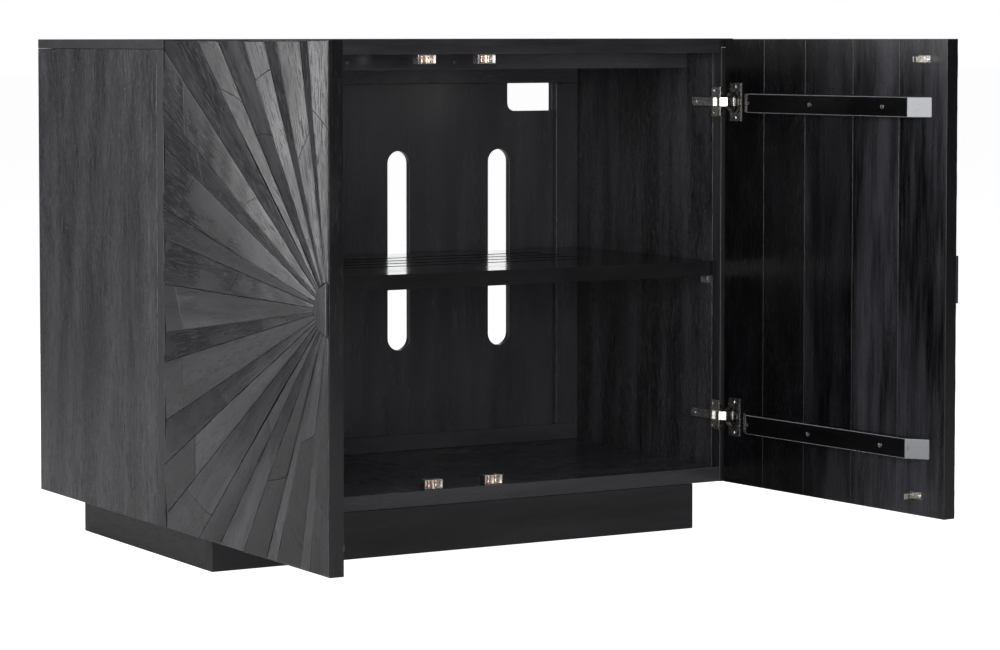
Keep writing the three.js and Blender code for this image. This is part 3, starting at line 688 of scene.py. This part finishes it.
# %% Rollers
TURN_STEPS = 28
ROLLER_PROFILE = np.array([
    (0.0, 0.0), (0.33, 0.0), (0.33, 0.09), (0.84, 0.09), (1.0, 0.14), (1.0, 0.3), (0.86, 0.36),
    (0.8, 0.5), (0.86, 0.64), (1.0, 0.7), (1.0, 0.86), (0.84, 0.91), (0.33, 0.91), (0.33, 1.0), (0.0, 1.0),
])


def turned(low, high, profile):
    """A profile of (share of radius, share of height) swung about the upright middle line of a box:
    the point at turn t is middle + radius * profile radius * (cos t, sin t)."""
    low, high = np.asarray(low), np.asarray(high)
    middle, radius = (low + high) / 2, (high - low)[:2].min() / 2
    t = np.linspace(0, 2 * np.pi, TURN_STEPS, endpoint=False)
    points = np.empty((len(profile), TURN_STEPS, 3))
    points[..., 0] = middle[0] + radius * profile[:, :1] * np.cos(t)
    points[..., 1] = middle[1] + radius * profile[:, :1] * np.sin(t)
    points[..., 2] = (low[2] + (high - low)[2] * profile[:, 1])[:, None]
    return points.reshape(-1, 3), grid_faces(len(profile), TURN_STEPS, True)


for side in DOORS:
    for level in LEVELS:
        for hand in ("inner", "outer"):
            node = f"{side}_{level}_catch_roller_{hand}"
            mesh = closed_mesh(node + "_turned", *turned(*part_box(node), ROLLER_PROFILE))
            finish_piece(node + "_turned", mesh, "copper", node, [node])
print("rollers 8")

# %% [markdown]
# ## Door panels
# Each door is glued up from five upright planks, and the joints show as fine lines on the inside. The
# measured panel is cut along the joints and each plank gets its own softened edges, which leaves a
# shallow V at every joint. Each plank also gets its own start in the grain and its own tone. The tones
# also carry painted shade: they rise from the hinge to the free edge, so the planks by the hinge are
# painted the plainest, darkest black, and those by the free edge the most streaked.

# %% Planks
PLANK_JOINTS = np.array([0.100, 0.202, 0.317, 0.424])
# Plank tones from the hinge to the free edge: their own tone, with painted shade darkest by the hinge.
PLANK_TONES_AND_SHADE = (0.0, 0.02, 0.3, 0.9, 1.0)
PLANK_GAP = 0.00025
PLANK_EDGE = 0.0005


def plank(side, node, start, end):
    """The part of a door panel between two places across the door, closed at both cuts."""
    work = merged_copy(node)
    matrix = door_motion(side)[1]
    for place, direction in ((start, -1.0), (end, 1.0)):
        if PANEL_LOW[0] < place < PANEL_HIGH[0]:
            point = from_door(side, (place, 0.0, 0.0))
            normal = matrix @ np.array([direction, 0.0, 0.0])
            everything = [*work.verts, *work.edges, *work.faces]
            bmesh.ops.bisect_plane(work, geom=everything, plane_co=point, plane_no=normal, clear_outer=True)
            open_edges = [edge for edge in work.edges if edge.is_boundary]
            bmesh.ops.holes_fill(work, edges=open_edges)
    bmesh.ops.recalc_face_normals(work, faces=work.faces)
    return work


def door_panel(side):
    """The five planks of a door in one mesh, each with its own grain and tone."""
    node = f"{side}_door_panel"
    edges = [PANEL_LOW[0] - 1, *(PANEL_LOW[0] + PLANK_JOINTS), PANEL_HIGH[0] + 1]
    whole = bmesh.new()
    for start, end in zip(edges[:-1], edges[1:]):
        part = bpy.data.meshes.new("plank")
        work = plank(side, node, start + PLANK_GAP, end - PLANK_GAP)
        work.to_mesh(part)
        work.free()
        whole.from_mesh(part)
        bpy.data.meshes.remove(part)
    mesh = bevelled(node + "_planks", whole, PLANK_EDGE)
    points = mesh_points(mesh)
    pin, matrix = door_motion(side)
    local = (points - pin) @ matrix
    number = np.searchsorted(PANEL_LOW[0] + PLANK_JOINTS, local[:, 0])
    shift = dice.uniform(0, 5, (len(PLANK_JOINTS) + 1, 3))
    # Each plank's tone: the painted shade ramp above, plus a little random tone.
    tone_and_shade = np.array(PLANK_TONES_AND_SHADE) + dice.uniform(-0.06, 0.06, len(PLANK_JOINTS) + 1)
    tones_and_shade = np.where(local[:, 0] > PANEL_HIGH[0] - PLANK_EDGE / 2, 0.0, tone_and_shade[number])
    grain = local[:, [2, 0, 1]] + shift[number]
    finish_piece(node + "_planks", mesh, "door_wood", f"{side}_door", [node], grain, tones_and_shade)


for side in DOORS:
    door_panel(side)
print("door planks", 2 * (len(PLANK_JOINTS) + 1))

# %% [markdown]
# ## Battens
# Two battens across the back of each door keep the glued planks flat. They are bevelled copies with the
# grain along them. Their ends are cut to a slope, and both the slopes and the turned edges are painted
# paler than the black faces, as painted highlights. A point shared with a black face would smear that, so
# the painted highlight is written by face here.

# %% Battens
# How strongly the painted highlight is laid on the batten slopes and edges.
SLOPE_HIGHLIGHT = 3.0
SLOPE_LEAN = 0.4
SLOPE_AREA = 1e-5
SQUARE_ON = 0.98


def paint_batten_highlights(piece, matrix):
    """Paints highlights by face: full where a face leans along the door and away from it, or turns an edge.
    """
    mesh = piece.data
    normals, areas = face_vectors(mesh)
    local = normals @ matrix
    sloped = (np.abs(local[:, 0]) > SLOPE_LEAN) & (local[:, 1] > SLOPE_LEAN) & (areas > SLOPE_AREA)
    mesh.attributes.remove(mesh.attributes["wear_and_highlight"])
    wear_and_highlight = mesh.attributes.new("wear_and_highlight", "FLOAT", "FACE")
    turning = np.abs(local).max(1) < SQUARE_ON
    # Painted highlight on the slopes and turned edges, none on the flats.
    wear_and_highlight.data.foreach_set("value", np.where(sloped | turning, SLOPE_HIGHLIGHT, 0.0).astype(np.float32))


for side in DOORS:
    matrix = door_motion(side)[1]
    for level in LEVELS:
        node = f"{side}_{level}_batten"
        batten = soft_copy(node, 0.0012, "batten_wood", f"{side}_door", matrix[:, 0], matrix[:, 2])
        paint_batten_highlights(batten, matrix)
print("battens 4")

# %% [markdown]
# ## The carved sunburst
# Half a sunburst spreads over each door from the middle of its free edge. It is laid from long thin
# wedges of wood. Each wedge is low along one edge and rises to the other, the next one falls again, and
# so the surface is pleated. Many rays are pieced from two or three lengths with slanted joints, and no
# wedge is quite true. Each wedge is a grid of points: one way across the ray from edge to edge, the
# other way along it.

# %% Ray angles
RAY_COUNT = 26
RAY_UNEVENNESS = 0.17
RAY_UNEVENNESS_TURN = 2.4
RAY_TILT = math.tan(math.radians(7.0))
RAY_BASE = 0.0012
RAY_RISE = 0.0044
RAY_EDGE = 0.0006
RAY_GAP = 0.0004
HUB_RADIUS = 0.038
CARVING_TOP = PANEL_LOW[1] - CARVING_LOW[1]
ray_step = math.pi / RAY_COUNT
ray_index = np.arange(RAY_COUNT + 1)
sway = RAY_UNEVENNESS * np.sin(RAY_UNEVENNESS_TURN * ray_index)
sway[[0, -1]] = 0.0
RAY_ANGLES = ray_step * (ray_index + sway)
print("rays", RAY_COUNT, "deepest carving", round(CARVING_TOP * 1000, 2), "mm")

# %% One wedge
ACROSS = np.array([0, 0, 0, 0, 0.14, 0.32, 0.5, 0.68, 0.86, 1, 1, 1, 1.0])
INSET = np.array([0, 0, 0.3, 1, 0, 0, 0, 0, 0, 1, 0.3, 0, 0])
ROUND = np.array([1, 1, 0.3, 0, 0, 0, 0, 0, 0, 0, 0.3, 1, 1.0])
FOOT = np.array([1, 0, 0, 0, 0, 0, 0, 0, 0, 0, 0, 0, 1.0])
LENGTHS = 22


def ray_reach(angle):
    """How far a ray at this angle from straight up runs before it meets the door's edge."""
    width = CARVING_HIGH[0] - CARVING_LOW[0]
    half_height = (CARVING_HIGH[2] - CARVING_LOW[2]) / 2
    side = width / np.maximum(np.sin(angle), 1e-9)
    end = half_height / np.maximum(np.abs(np.cos(angle)), 1e-9)
    return np.minimum(side, end)


def wedge(from_angle, to_angle, rises, inner, outer, rng):
    """One length of a ray. At share s across and distance d out, its height is
    base + tilt * d * sin(width) * s, crowned a little, with slow waves, and never above the carving.
    inner and outer give the distance of its two ends for each share across."""
    angle = from_angle + (to_angle - from_angle) * ACROSS
    corner = math.atan2(CARVING_HIGH[0] - CARVING_LOW[0], (CARVING_HIGH[2] - CARVING_LOW[2]) / 2)
    for turn in (corner, math.pi - corner):
        if from_angle < turn < to_angle:
            nearest = 4 + np.argmin(np.abs(angle[4:9] - turn))
            angle[nearest] = turn
    start, stop = inner(ACROSS), np.minimum(outer(ACROSS), ray_reach(angle))
    round_off = RAY_EDGE * np.array([0, 0, 0.3, 1])
    out = start + round_off[:, None]
    share = np.linspace(0, 1, LENGTHS + 2)[1:-1, None]
    middle = start + RAY_EDGE + (stop - start - 2 * RAY_EDGE) * share
    distance = np.concatenate([out, middle, stop - round_off[::-1, None]])
    row_round = np.concatenate([[1, 1, 0.3, 0], np.zeros(LENGTHS), [0, 0.3, 1, 1]])
    row_foot = np.concatenate([[1, 0, 0, 0], np.zeros(LENGTHS), [0, 0, 0, 1]])
    phase = rng.uniform(0, 2 * np.pi, 5)
    lean = rng.uniform(-0.35, 0.35) / 1000
    up_side = ACROSS if rises else 1 - ACROSS
    rise = np.minimum(RAY_TILT * distance * np.sin(to_angle - from_angle), RAY_RISE)
    height = RAY_BASE + rise * up_side + lean * (ACROSS - 0.5) + rng.uniform(-0.25, 0.25) / 1000
    height += 0.0005 * ACROSS * (1 - ACROSS) * np.minimum(distance / 0.2, 1)
    height += 0.00018 * np.sin(distance * 38 + phase[0])
    height += 0.00012 * np.sin(distance * 95 + phase[1] + 3 * ACROSS)
    height = np.clip(height, 0.0009, CARVING_TOP - 0.00035)
    height -= RAY_EDGE * np.maximum(row_round[:, None], ROUND)
    height = np.where(np.maximum(row_foot[:, None], FOOT) > 0, 0.0, height)
    wave = 0.00022 * (np.sin(distance * 70 + phase[2]) + np.sin(distance * 161 + phase[3]))
    inset = RAY_GAP + np.abs(wave) + RAY_EDGE * INSET
    inward = np.where(ACROSS < 0.1, 1.0, np.where(ACROSS > 0.9, -1.0, 0.0)) * inset
    x = CARVING_HIGH[0] - (distance * np.sin(angle) + inward * np.cos(angle))
    z = (CARVING_LOW[2] + CARVING_HIGH[2]) / 2 + distance * np.cos(angle) - inward * np.sin(angle)
    x = np.clip(x, CARVING_LOW[0], CARVING_HIGH[0])
    z = np.clip(z, CARVING_LOW[2], CARVING_HIGH[2])
    points = np.stack([x, CARVING_HIGH[1] - height, z], -1)
    lateral = distance * (angle - (from_angle + to_angle) / 2)
    grain = np.stack([distance, lateral, height], -1) + rng.uniform(0, 5, 3)
    rows, columns = distance.shape
    number = np.arange(rows * columns).reshape(rows, columns)
    rim = np.concatenate([number[0], number[1:, -1], number[-1, -2::-1], number[-2:0:-1, 0]])
    return points.reshape(-1, 3), grain.reshape(-1, 3), [*grid_faces(rows, columns, False), rim]


# %% [markdown]
# The joints in the pieced rays are listed one by one. Each is a share of the ray's length and a slant: how
# far the joint runs along the ray while it crosses it once, in millimetres. Rays that are not listed
# run in one length.

# %% The fan of rays
PIECED = {
    0: [(0.71, 28)],
    2: [(0.6, -30)],
    4: [(0.87, 6)],
    5: [(0.64, 34)],
    6: [(0.79, 60)],
    7: [(0.69, -20)],
    8: [(0.45, 26), (0.86, -60)],
    9: [(0.76, -34)],
    10: [(0.86, 40)],
    12: [(0.55, 24)],
    13: [(0.9, -18)],
    15: [(0.88, 26)],
    16: [(0.62, -28)],
    17: [(0.8, 40)],
    18: [(0.86, -54)],
    19: [(0.48, 22)],
    20: [(0.58, 60)],
    21: [(0.68, -36)],
    22: [(0.9, 30)],
    23: [(0.5, -26), (0.87, 24)],
    25: [(0.74, 30)],
}


def joint_line(centre, slant, shift):
    """The distance out of a slanted joint for each share across the ray."""
    return lambda share: centre + slant * (share - 0.5) + shift


def sunburst(side, seed):
    """All the wedges of one door in one mesh, with their grain and tone."""
    rng = np.random.default_rng(seed)
    points, grains, tones_and_shade, faces, total = [], [], [], [], 0
    for i, (first, last) in enumerate(zip(RAY_ANGLES[:-1], RAY_ANGLES[1:])):
        reach = float(ray_reach((first + last) / 2))
        lines = [(HUB_RADIUS * 1.02, 0.0)]
        lines += [(share * reach, slant / 1000) for share, slant in PIECED.get(i, [])]
        for number, (centre, slant) in enumerate(lines):
            inner = joint_line(centre, slant, RAY_GAP)
            outer = joint_line(9.0, 0.0, 0.0)
            if number + 1 < len(lines):
                outer = joint_line(*lines[number + 1], -RAY_GAP)
            else:
                back = rng.uniform(0.0002, 0.0022)
                outer = (lambda trim: lambda share: ray_reach(first + (last - first) * share) - trim)(back)
            part, grain, quads = wedge(first, last, i % 2 == 0, inner, outer, rng)
            points.append(part)
            grains.append(grain)
            tones_and_shade.append(np.full(len(part), rng.uniform(0, 1)))
            faces += [np.asarray(face) + total for face in quads]
            total += len(part)
    mesh = bpy.data.meshes.new(f"{side}_door_rays")
    placed = from_door(side, np.concatenate(points))
    mesh.from_pydata(placed.tolist(), [], [list(map(int, face)) for face in faces])
    work = bmesh.new()
    work.from_mesh(mesh)
    bmesh.ops.recalc_face_normals(work, faces=work.faces)
    work.to_mesh(mesh)
    work.free()
    node = f"{side}_door_sunburst"
    grain, tone_and_shade = np.concatenate(grains), np.concatenate(tones_and_shade)
    finish_piece(f"{side}_door_rays", mesh, "carved_wood", f"{side}_door", [node], grain, tone_and_shade)
    return len(tones_and_shade), len(mesh.vertices)


for side, seed in (("left", 5), ("right", 8)):
    print(side, "door: wedges and points", sunburst(side, seed))

# %% [markdown]
# ## Hubs
# Where the rays meet, half an octagon of solid wood covers their tips. It is a bevelled copy too, with
# a wider bevel, because its rim is cut to a chamfer.

# %% Hubs
for side in DOORS:
    matrix = door_motion(side)[1]
    soft_copy(f"{side}_door_hub", 0.0016, "carved_wood", f"{side}_door", matrix[:, 2], matrix[:, 0])
print("hubs 2")

# %% [markdown]
# ## Screws
# The battens, hinges, strikes, front rail and back are held by cross-head screws. A head is a height
# above a disc: a low dome, less a cross-shaped recess with soft sides. The same head is set at every
# screw's place and turned at random, since no fitter lines them up.

# %% Screw head surface
HEAD_RINGS = np.array([0.0, 0.1, 0.2, 0.3, 0.4, 0.5, 0.6, 0.72, 0.84, 0.94, 1.0, 1.0])
HEAD_TURNS = 32


def smooth_step(value, low, high):
    """0 below low, 1 above high, and 3 s^2 - 2 s^3 between them, with s the share of the way."""
    share = np.clip((value - low) / (high - low), 0, 1)
    return share * share * (3 - 2 * share)


def screw_head():
    """The head at share r out and turn t: height = dome * (1 - r * r) less the recess, where the recess is
    deep if the point is within the arm's width of one axis and within its length of the other."""
    t = np.linspace(0, 2 * np.pi, HEAD_TURNS, endpoint=False)
    x, y = HEAD_RINGS[:, None] * np.cos(t), HEAD_RINGS[:, None] * np.sin(t)
    upright = smooth_step(-np.abs(x), -0.26, -0.12) * smooth_step(-np.abs(y), -0.72, -0.5)
    level = smooth_step(-np.abs(y), -0.26, -0.12) * smooth_step(-np.abs(x), -0.72, -0.5)
    height = 0.3 * (1 - x**2 - y**2) + 0.12 - 0.34 * np.maximum(upright, level)
    height[-1] = -0.1
    points = np.stack([x, y, height], -1).reshape(-1, 3)
    rim = np.arange(HEAD_TURNS) + (len(HEAD_RINGS) - 1) * HEAD_TURNS
    return points, [*grid_faces(len(HEAD_RINGS), HEAD_TURNS, True), rim]


def screws(name, places, facing, radius, body, slot, age_and_shade=0.0):
    """The same head at each place, facing one way, all in one mesh: place + basis @ (turned head)."""
    head, faces = screw_head()
    facing = np.asarray(facing, float)
    side = np.cross(facing, AXES[Z] if abs(facing[2]) < 0.9 else AXES[X])
    side /= np.linalg.norm(side)
    turn = dice.uniform(0, np.pi / 2, len(places))
    first = np.cos(turn)[:, None] * side + np.sin(turn)[:, None] * np.cross(facing, side)
    second = np.cross(facing, first)
    basis = np.stack([first, second, np.broadcast_to(facing, first.shape)], 1) * radius
    points = np.asarray(places)[:, None] + np.einsum("vk,nkj->nvj", head, basis)
    every = [face + n * len(head) for n in range(len(places)) for face in faces]
    mesh = closed_mesh(name, points.reshape(-1, 3), every)
    finish_piece(name, mesh, slot, body, age_and_shade=age_and_shade)
    return len(places)


# %% [markdown]
# Screw places come from the pieces that they hold: a share of the way along a batten, a fixed spacing
# on a hinge plate or flange, and a fixed setback on a strike.

# %% Door screws
BATTEN_SCREWS = (0.084, 0.237, 0.408)
FLANGE_SPACING = 0.052
FLANGE_OFFSET = 0.0095
CUP_CENTRE = 0.0121
STRIKE_SPACING = 0.018
BATTEN_HEAD = 0.0042
FITTING_HEAD = 0.0026
SCREW_AGE = 0.85
for side in DOORS:
    matrix = door_motion(side)[1]
    inward = matrix @ np.array([0, 1.0, 0])
    body = f"{side}_door"
    wooden, plated = [], []
    for level in LEVELS:
        low, high = door_box(side, f"{side}_{level}_batten")
        middle = (low[2] + high[2]) / 2
        wooden += [(PANEL_LOW[0] + reach, high[1] - 0.0002, middle) for reach in BATTEN_SCREWS]
        low, high = door_box(side, f"{side}_{level}_hinge_cup")
        middle = (low[2] + high[2]) / 2
        for end in (-0.5, 0.5):
            plated.append((CUP_CENTRE + FLANGE_OFFSET, high[1] - 0.0008, middle + end * FLANGE_SPACING))
        low, high = door_box(side, f"{side}_{level}_strike")
        middle = (low + high) / 2
        for end in (-0.5, 0.5):
            plated.append((middle[0] + end * STRIKE_SPACING, low[1] + 0.0016, middle[2]))
    places = from_door(side, wooden)
    count = screws(f"{side}_batten_screws", places, inward, BATTEN_HEAD, body, "nickel", SCREW_AGE)
    places = from_door(side, plated)
    count += screws(f"{side}_fitting_screws", places, inward, FITTING_HEAD, body, "nickel")
    print(side, "door screws", count)

# %% Carcass screws
PLATE_SPACING = 0.037
PLATE_SETBACK = 0.0162
SET_SCREW_SETBACK = 0.0546
HINGE_HEAD = 0.0025
RAIL_HEAD = 0.0036
RAIL_SCREWS = (-0.156, 0.045)
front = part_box("left_front_lipping")[0].y
for side, inward in (("left", 1.0), ("right", -1.0)):
    places = []
    for level in LEVELS:
        low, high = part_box(f"{side}_{level}_hinge_plate")
        face = high.x if inward > 0 else low.x
        middle = (low.z + high.z) / 2
        for end in (-0.5, 0.5):
            height = middle + end * PLATE_SPACING
            places.append((face - 0.0008 * inward, front + PLATE_SETBACK, height))
        low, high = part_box(f"{side}_{level}_hinge_arm")
        face = high.x if inward > 0 else low.x
        places.append((face - 0.0012 * inward, front + SET_SCREW_SETBACK, middle))
    facing = (inward, 0, 0)
    count = screws(f"{side}_hinge_screws", places, facing, HINGE_HEAD, "carcass", "nickel")
    print(side, "hinge screws", count)

low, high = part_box("front_top_rail")
level = (low.z + high.z) / 2
places = [(x, low.y, level) for x in RAIL_SCREWS]
screws("front_rail_screws", places, (0, -1, 0), RAIL_HEAD, "carcass", "batten_wood")

# %% [markdown]
# The back is screwed to its frame from behind, all the way round at an even spacing.

# %% Back screws
BACK_EDGE = 0.02
BACK_COLUMNS = 6
BACK_ROWS = 4
low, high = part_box("back_panel")
across = np.linspace(low.x + BACK_EDGE, high.x - BACK_EDGE, BACK_COLUMNS)
upward = np.linspace(low.z + BACK_EDGE, high.z - BACK_EDGE, BACK_ROWS)[1:-1]
places = [(x, high.y, z) for x in across for z in (low.z + BACK_EDGE / 2, high.z - BACK_EDGE)]
places += [(x, high.y, z) for z in upward for x in (across[0], across[-1])]
print("back screws", screws("back_screws", places, (0, 1, 0), RAIL_HEAD, "carcass", "batten_wood"))

# %% [markdown]
# ## The studio
# A pale floor runs off to a white background. Black lacquer shows almost nothing but reflections, so
# the lights are large and soft. A broad panel hangs overhead, and the key stands to the front and left.
# A small fill looks straight into the cabinet, one behind shines through the back's slots, and a tall one
# behind and to the left rakes over the carving, so that every second wedge catches it. The floor's glow
# and the white world are seen by the camera only: reflections find a dim grey world, which keeps the
# black wood black.

# %% Floor and lights
FLOOR_SIZE = 120.0
FLOOR_DROP = 0.0005
FLOOR_GLOW = 0.9
floor_mesh = bpy.data.meshes.new("floor")
edge = FLOOR_SIZE / 2
corners = [(x * edge, y * edge, -FLOOR_DROP) for x, y in ((-1, -1), (1, -1), (1, 1), (-1, 1))]
floor_mesh.from_pydata(corners, [], [(0, 1, 2, 3)])
floor = bpy.data.objects.new("floor", floor_mesh)
bpy.context.scene.collection.objects.link(floor)
pale = bpy.data.materials.new("pale_floor")
pale.use_nodes = True
pale_shader = pale.node_tree.nodes["Principled BSDF"]
pale_shader.inputs["Base Color"].default_value = (0.8, 0.8, 0.8, 1)
pale_shader.inputs["Roughness"].default_value = 0.7
pale_shader.inputs["Specular IOR Level"].default_value = 0.1
pale_shader.inputs["Emission Color"].default_value = (1, 1, 1, 1)
glow = put(pale.node_tree, "ShaderNodeLightPath").outputs["Is Camera Ray"]
strength = maths(pale.node_tree, "MULTIPLY", glow, FLOOR_GLOW)
pale.node_tree.links.new(strength, pale_shader.inputs["Emission Strength"])
floor_mesh.materials.append(pale)


def soft_light(name, place, aim, size, power):
    """A rectangular light at place that faces aim."""
    data = bpy.data.lights.new(name, "AREA")
    data.shape = "RECTANGLE"
    data.size, data.size_y = size
    data.energy = power
    lamp = bpy.data.objects.new(name, data)
    bpy.context.scene.collection.objects.link(lamp)
    lamp.location = place
    lamp.rotation_euler = (Vector(aim) - Vector(place)).to_track_quat("-Z", "Y").to_euler()


soft_light("overhead", (0, -0.6, 4.5), (0, -0.6, 0), (6.0, 6.0), 90)
soft_light("key", (-3.3, -3.0, 1.3), (0.3, -0.3, 0.5), (3.4, 2.4), 215)
soft_light("fill", (-0.45, -3.6, 0.95), (0.1, 0.2, 0.6), (1.2, 0.9), 28)
soft_light("behind", (1.5, 2.6, 0.7), (0.2, 0.2, 0.6), (2.0, 1.4), 12)
soft_light("rake", (-2.3, 1.25, 1.0), (-0.54, -0.6, 0.6), (0.8, 1.5), 21)

world = bpy.data.worlds.new("studio")
world.use_nodes = True
tree = world.node_tree
background = tree.nodes["Background"]
background.inputs["Color"].default_value = (0.1, 0.102, 0.112, 1)
backdrop = put(tree, "ShaderNodeBackground", {"Color": (1, 1, 1, 1), "Strength": 1.0})
seen = put(tree, "ShaderNodeLightPath").outputs["Is Camera Ray"]
choose = put(tree, "ShaderNodeMixShader", {0: seen, 1: background.outputs[0], 2: backdrop.outputs[0]})
tree.links.new(choose.outputs[0], tree.nodes["World Output"].inputs["Surface"])
bpy.context.scene.world = world
bpy.context.scene.view_settings.view_transform = "Standard"
